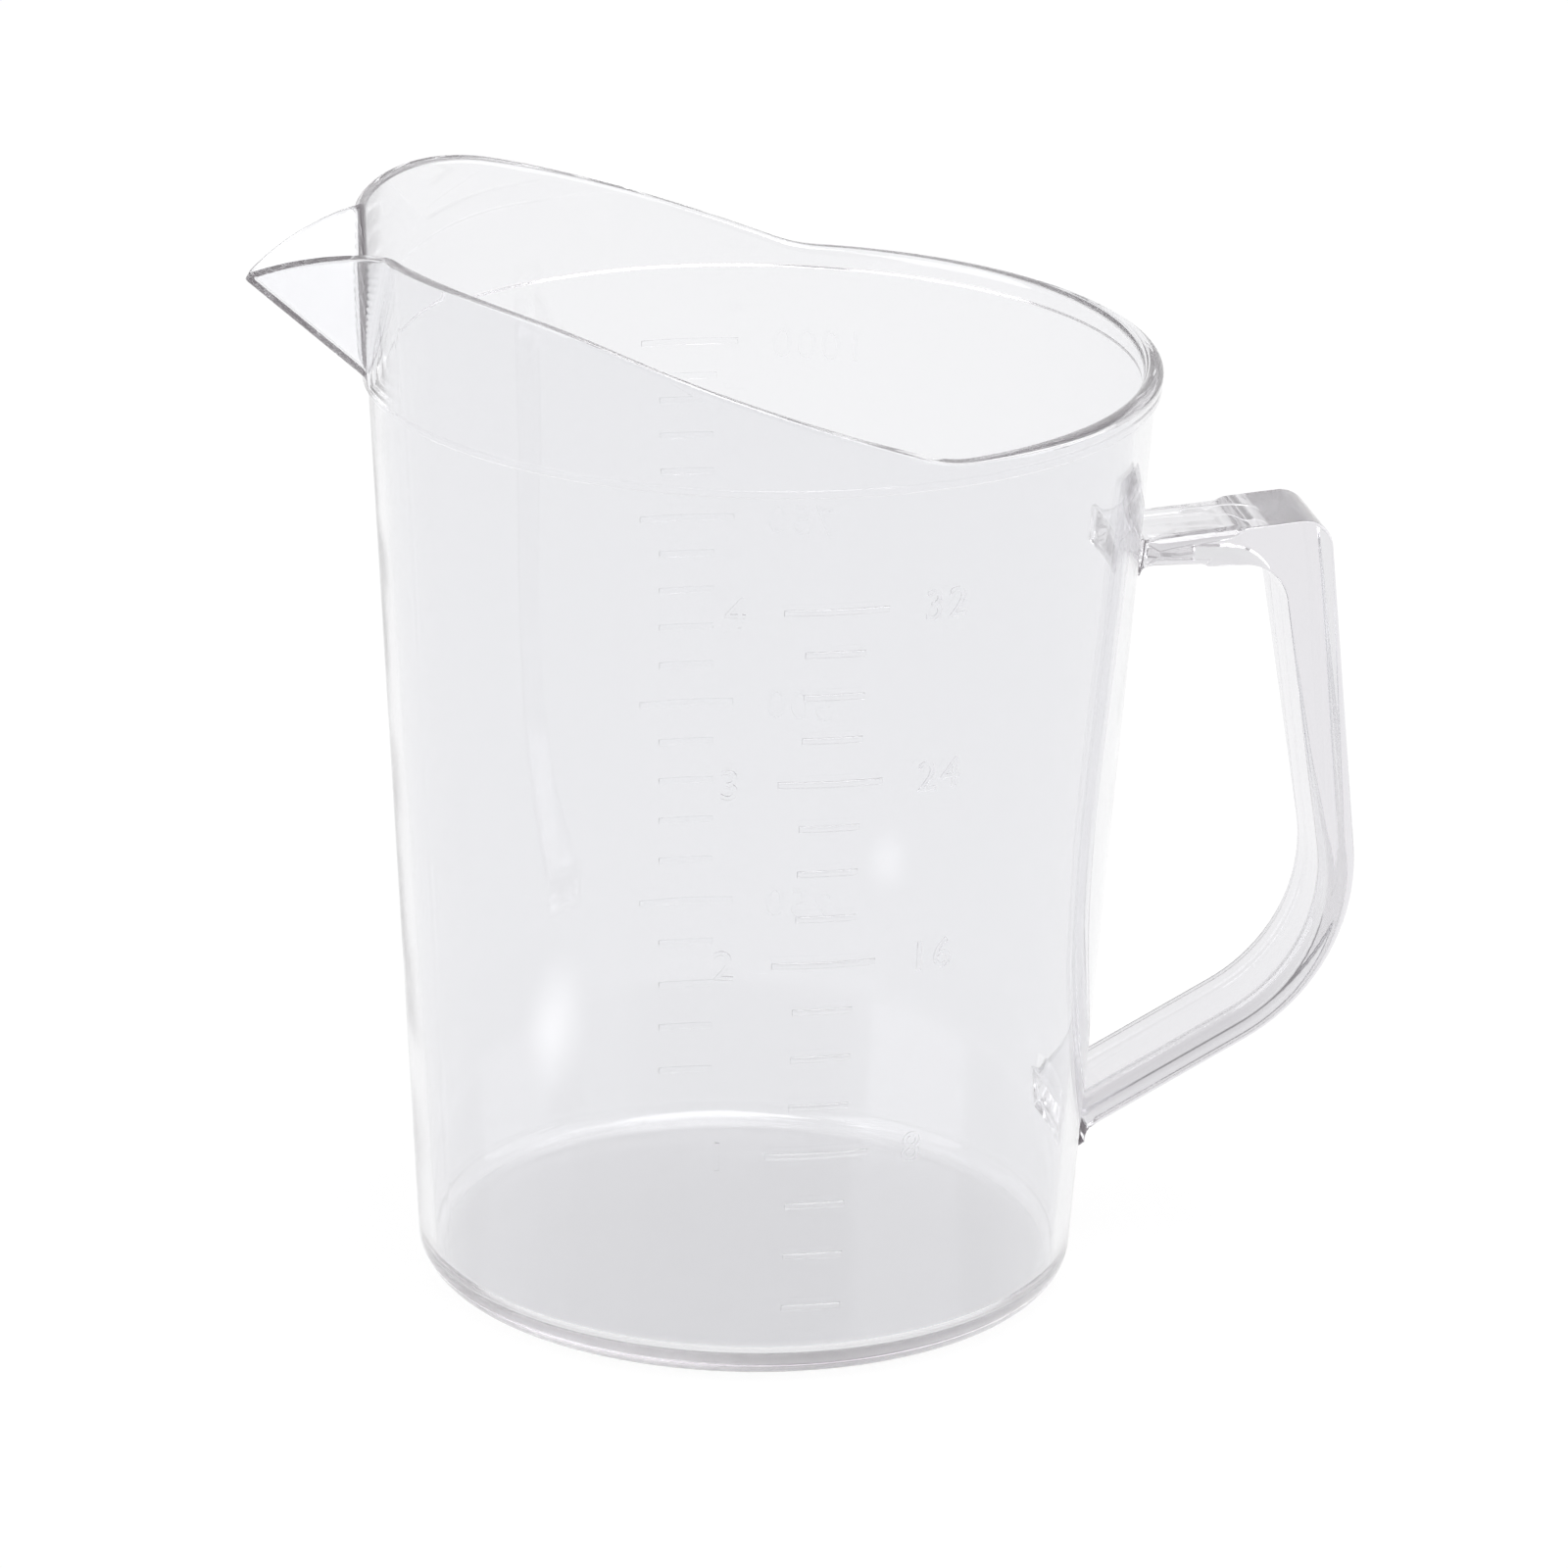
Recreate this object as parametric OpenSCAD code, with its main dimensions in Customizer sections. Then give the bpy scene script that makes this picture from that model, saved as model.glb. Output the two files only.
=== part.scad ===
// Clear measuring jug with a raised hood, a V spout, a strap handle and raised scales.
// The base rests on Z = 0, the jug's axis is Z, the handle points to +X and the spout to -X.

/* [Vessel] */
// Outer diameter of the tapered wall, carried down to the base plane
base_d = 97.6; // [80:0.2:120]
// Outer diameter of the tapered wall at the foot of the collar
top_d = 115.2; // [100:0.2:140]
// Height of the collar's foot above the base
body_h = 138.6; // [110:0.2:170]
// Thickness of the tapered wall, measured level
wall_t = 2.2; // [1.6:0.1:3]
// Thickness of the floor
floor_t = 3.5; // [2:0.1:5]
// Radius of the outer corner between base and wall
base_corner_r = 4.6; // [2:0.1:7]
// Radius of the inner corner between floor and wall
floor_corner_r = 2.6; // [1:0.1:5]

/* [Collar and hood] */
// Step by which the collar stands out from the wall
collar_step = 0.8; // [0.3:0.1:2]
// Height of the level rim above the collar's foot
rim_h = 3.6; // [2:0.1:8]
// Distance from the foot of the keel back to the hood's crest, measured level
crest_in = 3.2; // [0:0.1:8]
// Slope of the rising rim
hood_slope = 19.1; // [10:0.1:25]
// Height of the hood's crest above the level rim
crest_h = 20.6; // [14:0.1:26]
// Radius that eases the rising rim into the crest
crest_r = 70; // [40:1:90]

/* [Spout] */
// Height above the collar's foot at which the keel leaves the collar
keel_rise = 2; // [0.5:0.1:4]
// Slope of the keel
keel_slope = 41.4; // [35:0.1:50]
// Half of the angle between the two spout sides, square to the keel
spout_half_angle = 38; // [30:0.5:45]
// Thickness of the spout sides
spout_t = 1.7; // [1.2:0.1:2.5]
// Radius of the keel's outer edge
keel_r = 1.2; // [0.5:0.1:2]
// Radius of the droop from the crest to the tip
droop_r = 36; // [30:1:45]

/* [Handle] */
// Width of the strap
handle_w = 16; // [12:0.5:22]
// Drop from the collar's foot to the underside of the upper arm
arm_drop = 29.7; // [20:0.1:40]
// Depth of the upper arm at the wall
arm_t = 4.4; // [3:0.1:7]
// Slope of the upper arm's top face
arm_slope = 5; // [0:0.5:10]
// Finger room between the wall and the grip, at the underside of the upper arm
finger_gap = 22; // [18:0.2:32]
// Thickness of the grip at the upper arm
grip_t = 7.9; // [5:0.1:10]
// Lean of the grip's inner face
grip_lean_in = 9.4; // [4:0.1:12]
// Lean of the grip's outer face
grip_lean_out = 6.8; // [2:0.1:9]
// Height above the base at which the lower arm's lower edge meets the wall
lower_root_h = 19; // [12:0.2:30]
// Depth of the lower arm, square to its slope
lower_arm_t = 5.8; // [4:0.1:8]
// Slope of the lower arm
lower_arm_slope = 28.9; // [20:0.1:35]
// Inner radius of the upper bend
upper_bend_in = 7; // [3:0.5:10]
// Outer radius of the upper bend
upper_bend_out = 4.6; // [2:0.1:8]
// Inner radius of the lower bend
lower_bend_in = 25; // [15:0.5:30]
// Outer radius of the lower bend
lower_bend_out = 31; // [20:0.5:36]
// Radius of the long edges of the grip and the lower arm
handle_edge_r = 1.4; // [0.5:0.1:1.8]
// Radius of the long edges of the upper arm
arm_edge_r = 1.9; // [0.5:0.1:2.2]
// Length over which the upper arm's round edges run out before the bend
arm_edge_blend = 2.5; // [1:0.5:6]

/* [Scales] */
// Height of the marks and numbers above the wall
relief = 0.35; // [0.2:0.05:0.8]
// Thickness of a scale line
mark_t = 1; // [0.6:0.1:1.6]
// Length of a short scale line
short_mark = 8.8; // [6:0.2:12]
// Length of a long scale line
long_mark = 15.2; // [12:0.2:20]
// Height of the numbers
number_h = 4.6; // [3:0.1:6]
// Width of one figure
figure_w = 2.9; // [2:0.1:4]
// Stroke of the figures
stroke = 0.7; // [0.4:0.05:1]
// Space between two figures
figure_gap = 0.9; // [0.5:0.1:2]
// Space between a long line and a number beside it
number_gap = 5; // [2:0.2:8]
// Largest cup mark
cup_max = 4; // [1:1:6]
// Largest millilitre mark
millilitre_max = 1000; // [250:50:1500]
// Clear height between the highest mark and the collar
mark_clear = 3; // [1:0.5:10]

/* [Hidden] */
$fn = 128;

// Cubic millimetres in a millilitre, millilitres in a cup and ounces in a cup
ml_volume = 1000;
cup_ml = 236.588;
cup_ounces = 8;
// Share of a cup between two lines, and millilitres between two lines and two numbers
cup_step = 0.25;
millilitre_step = 50;
millilitre_number_step = 250;
// Angles of the two scales about the axis
cup_scale_angle = -90;
millilitre_scale_angle = 90;
// Allowance by which cutting shapes run past what they cut
over = 5;
// Depth by which the flats of a round may miss its arc
round_tol = 0.02;
// Flats along a bend of the strap, flats round one of its edges, and the largest share of its depth for one edge
bend_steps = 12;
edge_steps = 4;
edge_share = 0.45;

// Wall
taper = (top_d - base_d) / 2 / body_h;
rim_z = body_h + rim_h;
crest_z = rim_z + crest_h;
over_top_z = crest_z + over;

// Foot of the keel on the collar
keel_z = body_h + keel_rise;
keel_x = -collar_radius(keel_z);

// Rim as seen from the side: a level stretch, a straight rise, an easing arc and the droop of the spout
crest_x = keel_x + crest_in;
rise_end_x = crest_x + crest_r * tan(hood_slope / 2);
hood_start = rise_end_x + crest_h / tan(hood_slope);
droop_end_x = crest_x - droop_r;

// Spout prisms
keel_blunt = keel_r / sin(spout_half_angle) - keel_r;
spout_len = 2 * droop_r;
spout_back = 4 * over;

// Handle corners, in the plane of the strap's side
arm_under_z = body_h - arm_drop;
upper_root_x = wall_radius(arm_under_z) - over;
lower_root_x = wall_radius(0) - over;
grip_in_x = wall_radius(arm_under_z) + finger_gap;
grip_out_x = grip_in_x + grip_t;
arm_top_z = arm_under_z + arm_t;
lower_low = [wall_radius(lower_root_h), lower_root_h];
lower_high = lower_low + lower_arm_t * [-sin(lower_arm_slope), cos(lower_arm_slope)];
arm_top_start = [wall_radius(arm_top_z), arm_top_z];
grip_out_dir = [sin(grip_lean_out), -cos(grip_lean_out)];
grip_in_dir = [sin(grip_lean_in), -cos(grip_lean_in)];
arm_top_dir = [cos(arm_slope), sin(arm_slope)];
lower_dir = [cos(lower_arm_slope), sin(lower_arm_slope)];
outer_corners = [
  on_line(arm_top_start, arm_top_dir, upper_root_x),
  crossing(arm_top_start, arm_top_dir, [grip_out_x, arm_under_z], grip_out_dir),
  crossing([grip_out_x, arm_under_z], grip_out_dir, lower_low, lower_dir),
  on_line(lower_low, lower_dir, lower_root_x)
];
inner_corners = [
  [upper_root_x, arm_under_z],
  [grip_in_x, arm_under_z],
  crossing([grip_in_x, arm_under_z], grip_in_dir, lower_high, lower_dir),
  on_line(lower_high, lower_dir, lower_root_x)
];

// Scales: the contents below a height, counted from the floor, on the inside taper
inside_floor_r = wall_radius(floor_t) - wall_t;
top_mark_z = body_h - mark_clear;
full_ml = PI / (3 * taper) * (pow(inside_floor_r + taper * (top_mark_z - floor_t), 3)
  - pow(inside_floor_r, 3)) / ml_volume;
cup_top = min(cup_max, cup_step * floor(full_ml / cup_ml / cup_step));
millilitre_top = min(millilitre_max, millilitre_step * floor(full_ml / millilitre_step));

// Outer radius of the wall and of the collar at a height
function wall_radius(z) = base_d / 2 + taper * z;
function collar_radius(z) = wall_radius(z) + collar_step;
// Height that the contents reach at a number of millilitres
function fill_height(ml) =
  floor_t + (pow(3 * taper * ml * ml_volume / PI + pow(inside_floor_r, 3), 1 / 3) - inside_floor_r) / taper;
// Angle that an arc takes on the wall at a height
function wall_angle(arc, z) = arc / wall_radius(z) * 180 / PI;
// Point of a line at a given first coordinate
function on_line(p, dir, x) = p + dir * ((x - p[0]) / dir[0]);
// Crossing of two lines, each given by a point and a direction
function crossing(p, u, q, v) = p + u * (((q - p)[0] * v[1] - (q - p)[1] * v[0]) / (u[0] * v[1] - u[1] * v[0]));
function unit(v) = v / norm(v);
// Half of the corner angle at b, the distance of its tangent points, and the centre of its round
function half_corner(a, b, c) = acos(unit(a - b) * unit(c - b)) / 2;
function tangent_len(a, b, c, r) = r / tan(half_corner(a, b, c));
function round_centre(a, b, c, r) = b + unit(unit(a - b) + unit(c - b)) * (r / sin(half_corner(a, b, c)));

// Vector turned by an angle
function turned(v, angle) = [v[0] * cos(angle) - v[1] * sin(angle), v[0] * sin(angle) + v[1] * cos(angle)];
// Points of a round at b, between its neighbours a and c, in a number of flats
function round_points(a, b, c, r, steps) =
  let (
    centre = round_centre(a, b, c, r),
    from = b + unit(a - b) * tangent_len(a, b, c, r) - centre,
    turn = (180 - 2 * half_corner(a, b, c)) * sign(cross(b - a, c - b))
  )
  [for (i = [0 : steps]) centre + turned(from, turn * i / steps)];
// Flats that a round needs
function round_steps(a, b, c, r) = ceil((90 - half_corner(a, b, c)) / acos(1 - min(1, round_tol / r)));
// Outline with a round at each corner whose radius isn't 0
function rounded(points, radii) =
  let (last = len(points) - 1)
  [
    for (i = [0 : last])
      let (a = points[i == 0 ? last : i - 1], b = points[i], c = points[i == last ? 0 : i + 1], r = radii[i])
        each r > 0 ? round_points(a, b, c, r, round_steps(a, b, c, r)) : [b]
  ];

// Half section of a tapered round form with a rounded lower corner
module tapered_half(low_r, low_z, high_z, corner) {
  polygon(rounded(
    [[0, low_z], [low_r, low_z], [low_r + taper * (high_z - low_z), high_z], [0, high_z]],
    [0, corner, 0, 0]
  ));
}

// Solid tapered form of the wall's outside, grown by an amount, up to a height
module wall_solid(grow, high_z) {
  cylinder(h = high_z, r1 = wall_radius(0) + grow, r2 = wall_radius(high_z) + grow);
}

// Everything below the rim as seen from the side
module below_rim() {
  rotate([90, 0, 0])
    linear_extrude(height = 2 * top_d, center = true)
      polygon(rounded(
        [
          [top_d, -over],
          [top_d, rim_z],
          [hood_start, rim_z],
          [rise_end_x, crest_z],
          [droop_end_x, crest_z],
          [droop_end_x, -over]
        ],
        [0, 0, 0, crest_r, droop_r, 0]
      ));
}

// Prism of the spout's V, laid along the keel. The V is lifted square to the keel, with its edge rounded.
module spout_prism(lift, edge_r) {
  half_w = spout_len * tan(spout_half_angle);
  translate([keel_x, 0, keel_z])
    rotate([0, keel_slope - 90, 0])
      translate([lift, 0, -spout_back])
        linear_extrude(height = spout_len + spout_back)
          polygon(rounded([[0, 0], [spout_len, half_w], [spout_len, -half_w]], [edge_r, 0, 0]));
}

module jug_body() {
  color([0.86, 0.88, 0.9, 0.5])
    difference() {
      intersection() {
        union() {
          rotate_extrude() tapered_half(base_d / 2, 0, body_h, base_corner_r);
          translate([0, 0, body_h])
            cylinder(h = over_top_z - body_h, r1 = collar_radius(body_h), r2 = collar_radius(over_top_z));
          spout_prism(-keel_blunt, keel_r);
        }
        below_rim();
      }
      rotate_extrude() tapered_half(inside_floor_r, floor_t, over_top_z + over, floor_corner_r);
      spout_prism(-keel_blunt + spout_t / sin(spout_half_angle), keel_r / 2);
    }
}

// Run of points along one face of the strap: its root, the round edges' end on the upper arm, the two bends, its root
function strap_run(p, upper_r, lower_r) =
  let (
    upper_bend = round_points(p[0], p[1], p[2], upper_r, bend_steps),
    lower_bend = round_points(p[1], p[2], p[3], lower_r, bend_steps)
  )
  concat([p[0], upper_bend[0] + unit(p[0] - p[1]) * arm_edge_blend], upper_bend, lower_bend, [p[3]]);

// Ring of points round the strap, between a point of its inner face and one of its outer face
function strap_ring(inner, outer, edge_r) =
  let (
    depth = norm(outer - inner),
    r = min(edge_r, edge_share * depth)
  )
  [
    for (side = [[1, 1, 0], [-1, 1, 90], [-1, -1, 180], [1, -1, 270]], i = [0 : edge_steps])
      let (
        angle = side[2] + 90 * i / edge_steps,
        across = depth / 2 + side[0] * (depth / 2 - r) + r * cos(angle),
        along = side[1] * (handle_w / 2 - r) + r * sin(angle),
        p = inner + unit(outer - inner) * across
      )
      [p[0], along, p[1]]
  ];

// Closed form through a row of rings with as many points each
module swept(rings) {
  n = len(rings[0]);
  last = len(rings) - 1;
  polyhedron(
    [for (ring = rings) each ring],
    concat(
      [[for (i = [0 : n - 1]) i]],
      [for (k = [0 : last - 1], i = [0 : n - 1]) [k * n + i, (k + 1) * n + i, k * n + (i + 1) % n]],
      [for (k = [0 : last - 1], i = [0 : n - 1]) [(k + 1) * n + i, (k + 1) * n + (i + 1) % n, k * n + (i + 1) % n]],
      [[for (i = [n - 1 : -1 : 0]) last * n + i]]
    )
  );
}

module handle() {
  outer_run = strap_run(outer_corners, upper_bend_out, lower_bend_out);
  inner_run = strap_run(inner_corners, upper_bend_in, lower_bend_in);
  color([0.84, 0.85, 0.88, 0.5])
    difference() {
      swept([
        for (i = [0 : len(outer_run) - 1])
          strap_ring(inner_run[i], outer_run[i], i < 2 ? arm_edge_r : handle_edge_r)
      ]);
      wall_solid(0, body_h);
    }
}

// Raised line on the wall: its middle angle, its height and its length
module scale_line(angle, z, len) {
  sweep = wall_angle(len, z);
  low = z - mark_t / 2;
  high = z + mark_t / 2;
  rotate([0, 0, angle - sweep / 2])
    rotate_extrude(angle = sweep)
      polygon([
        [wall_radius(low), low],
        [wall_radius(low) + relief, low],
        [wall_radius(high) + relief, high],
        [wall_radius(high), high]
      ]);
}

// Bowl of a figure: a ring as wide as the figure, centred at a height
module bowl(y, r) {
  translate([0, y])
    difference() {
      circle(r);
      circle(r - stroke);
    }
}

// Straight stroke between two points of a figure
module bar(a, b) {
  dir = unit(b - a);
  n = [-dir[1], dir[0]] * stroke / 2;
  polygon([a + n, a - n, b - n, b + n]);
}

// Plain figures, centred on the origin
module figure(n) {
  r = figure_w / 2;
  h = number_h / 2;
  m = r - stroke / 2;
  t = h - stroke / 2;
  if (n == 0) {
    difference() {
      stadium(r, h);
      stadium(r - stroke, h - stroke);
    }
  }
  if (n == 1) {
    bar([0, -h], [0, h]);
    bar([0, t], [-m, h - r]);
  }
  if (n == 2) {
    upper_bowl();
    bar([m, h - r], [-m, -t]);
    bar([-r, -t], [r, -t]);
  }
  if (n == 3) {
    intersection() {
      union() {
        bowl(h - r, r);
        bowl(r - h, r);
      }
      union() {
        translate([0, -h]) square([r, 2 * h]);
        translate([-r, h - r]) square([r, r]);
        translate([-r, -h]) square([r, r]);
      }
    }
  }
  if (n == 4) {
    bar([m / 2, -h], [m / 2, h]);
    bar([m / 2, t], [-m, -h / 3]);
    bar([-r, -h / 3], [r, -h / 3]);
  }
  if (n == 5) {
    bar([-r, t], [r, t]);
    bar([-m, t], [-m, 0]);
    intersection() {
      bowl(r - h, r);
      union() {
        translate([0, -h]) square([r, 2 * r]);
        translate([-r, -h]) square([r, r / 2]);
        translate([-r, r - h]) square([r, r]);
      }
    }
  }
  if (n == 6) {
    bowl(r - h, r);
    bar([-m, r - h], [-m, h - r]);
    upper_bowl();
  }
  if (n == 7) {
    bar([-r, t], [r, t]);
    bar([m, t], [-m / 2, -h]);
  }
  if (n == 8) {
    bowl(h - r, r);
    bowl(r - h, r);
  }
}

// Upper half of a bowl
module upper_bowl() {
  r = figure_w / 2;
  h = number_h / 2;
  intersection() {
    bowl(h - r, r);
    translate([-r, h - r]) square([2 * r, r]);
  }
}

// Upright rounded bar
module stadium(r, h) {
  translate([0, h - r]) circle(r);
  translate([0, r - h]) circle(r);
  square([2 * r, 2 * (h - r)], center = true);
}

// Figures of a whole number, from left to right
function figures(n) = n < 10 ? [n] : concat(figures(floor(n / 10)), [n % 10]);
function number_len(n) = len(figures(n)) * (figure_w + figure_gap) - figure_gap;

// Raised number on the wall with its middle at an arc distance from a scale's middle
module scale_number(angle, offset, z, n) {
  row = figures(n);
  for (i = [0 : len(row) - 1]) {
    shift = offset + (i - (len(row) - 1) / 2) * (figure_w + figure_gap);
    rotate([0, 0, angle + wall_angle(shift, z)])
      translate([wall_radius(z) - over, 0, z])
        rotate([90, 0, 90])
          linear_extrude(height = 2 * over)
            figure(row[i]);
  }
}

// Shell in which the raised numbers lie
module relief_shell() {
  difference() {
    wall_solid(relief, body_h);
    wall_solid(0, body_h);
  }
}

module cup_marks() {
  color([0.9, 0.91, 0.93, 0.6])
    for (cups = [cup_step : cup_step : cup_top])
      scale_line(cup_scale_angle, fill_height(cups * cup_ml), cups == floor(cups) ? long_mark : short_mark);
}

module cup_numbers() {
  color([0.9, 0.91, 0.93, 0.6])
    intersection() {
      for (cups = [1 : floor(cup_top)])
        scale_number(cup_scale_angle, -long_mark / 2 - number_gap - number_len(cups) / 2,
          fill_height(cups * cup_ml), cups);
      relief_shell();
    }
}

module ounce_numbers() {
  color([0.9, 0.91, 0.93, 0.6])
    intersection() {
      for (cups = [1 : floor(cup_top)])
        scale_number(cup_scale_angle, long_mark / 2 + number_gap + number_len(cups * cup_ounces) / 2,
          fill_height(cups * cup_ml), cups * cup_ounces);
      relief_shell();
    }
}

module millilitre_marks() {
  color([0.9, 0.91, 0.93, 0.6])
    for (ml = [millilitre_step : millilitre_step : millilitre_top])
      scale_line(millilitre_scale_angle, fill_height(ml), ml % millilitre_number_step == 0 ? long_mark : short_mark);
}

module millilitre_numbers() {
  color([0.9, 0.91, 0.93, 0.6])
    intersection() {
      for (ml = [millilitre_number_step : millilitre_number_step : millilitre_top])
        scale_number(millilitre_scale_angle, -long_mark / 2 - number_gap - number_len(ml) / 2, fill_height(ml), ml);
      relief_shell();
    }
}

jug_body();
handle();
cup_marks();
cup_numbers();
ounce_numbers();
millilitre_marks();
millilitre_numbers();
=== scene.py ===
import math

import bmesh
import bpy
from bpy.props import FloatProperty, FloatVectorProperty, IntProperty, PointerProperty
from mathutils import Matrix, Vector


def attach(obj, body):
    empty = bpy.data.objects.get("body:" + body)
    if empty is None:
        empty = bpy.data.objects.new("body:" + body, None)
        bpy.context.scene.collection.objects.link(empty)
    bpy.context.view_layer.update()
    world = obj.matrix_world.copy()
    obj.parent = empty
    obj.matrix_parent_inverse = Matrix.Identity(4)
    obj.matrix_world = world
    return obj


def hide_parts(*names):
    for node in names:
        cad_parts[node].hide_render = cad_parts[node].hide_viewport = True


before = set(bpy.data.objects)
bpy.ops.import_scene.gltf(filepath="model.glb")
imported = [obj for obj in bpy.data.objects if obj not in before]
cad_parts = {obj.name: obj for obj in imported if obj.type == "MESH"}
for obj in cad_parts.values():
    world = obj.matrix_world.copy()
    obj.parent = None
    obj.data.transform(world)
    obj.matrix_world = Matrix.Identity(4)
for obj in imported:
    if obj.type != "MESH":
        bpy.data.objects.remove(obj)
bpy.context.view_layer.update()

bl_info = {
    "name": "Clear Measuring Jug",
    "version": (1, 0, 0),
    "blender": (4, 5, 0),
    "location": "3D View > Sidebar > Jug",
    "description": "Builds a clear measuring jug with a hood, a spout, a strap handle and raised scales",
    "category": "Add Mesh",
}

PHOTO_PIXELS = 1600
SENSOR_WIDTH = 36.0

# Lengths are in metres, and a hair is a length that counts as none.
MM = 0.001
HAIR = 0.001 * MM

# How often a search between two places halves the way.
HALVINGS = 40

# Height of a figure as a share of its font's size.
FIGURE_SHARE = 0.7

# Places of the strap's sections along its arms, as shares of an arm's length, and of a root's round.
ROOT_PARTS = (0.03, 0.1, 0.22, 0.4, 0.65, 1)
ARM_PARTS = (0.14, 0.3, 0.5, 0.6, 0.62, 0.63, 0.64, 0.65, 0.66, 0.68, 0.85)
LOWER_PARTS = (0.3, 0.6, 0.88)

# Shares of the upper arm between which its edges turn crisp, and of each arm in which they fade at its root.
BLOCK_PARTS = (0.61, 0.67)
ARM_FADE = 0.12
LOWER_FADE = 0.08

# Most that an edge's round takes of the strap's depth.
EDGE_LIMIT = 0.48

# Slant of the fine scratches, and the point that every lamp faces.
SCRATCH_TURN = (0.3, 0.2, 0.5)
LAMP_AIM = Vector((0, 0, 75 * MM))


def count(name, description, value):
    """A whole number property."""
    return IntProperty(name=name, description=description, default=value)


def amount(name, description, value):
    """A plain number property."""
    return FloatProperty(name=name, description=description, default=value)


def size(name, description, millimetres):
    """A length property, written here in millimetres."""
    return FloatProperty(
        name=name, description=description, default=millimetres * MM, subtype="DISTANCE", precision=5
    )


def angle(name, description, degrees):
    """An angle property, written here in degrees."""
    return FloatProperty(
        name=name, description=description, default=math.radians(degrees), subtype="ANGLE"
    )


def share(name, description, value):
    """A plain share from 0 to 1."""
    return FloatProperty(
        name=name, description=description, default=value, min=0, max=1, subtype="FACTOR"
    )


def colour(name, description, value):
    """A linear colour property."""
    return FloatVectorProperty(
        name=name, description=description, default=value, size=3, min=0, max=1, subtype="COLOR"
    )


def soft_max(a, b, blend):
    """The larger of two lengths, with a round of the given reach where they meet."""
    reach = max(blend - abs(a - b), 0) / blend
    return max(a, b) + reach * reach * blend / 4


def smooth_step(low, high, value):
    """Share from 0 to 1 that eases in and out between two values."""
    part = min(max((value - low) / (high - low), 0), 1)
    return part * part * (3 - 2 * part)


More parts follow.
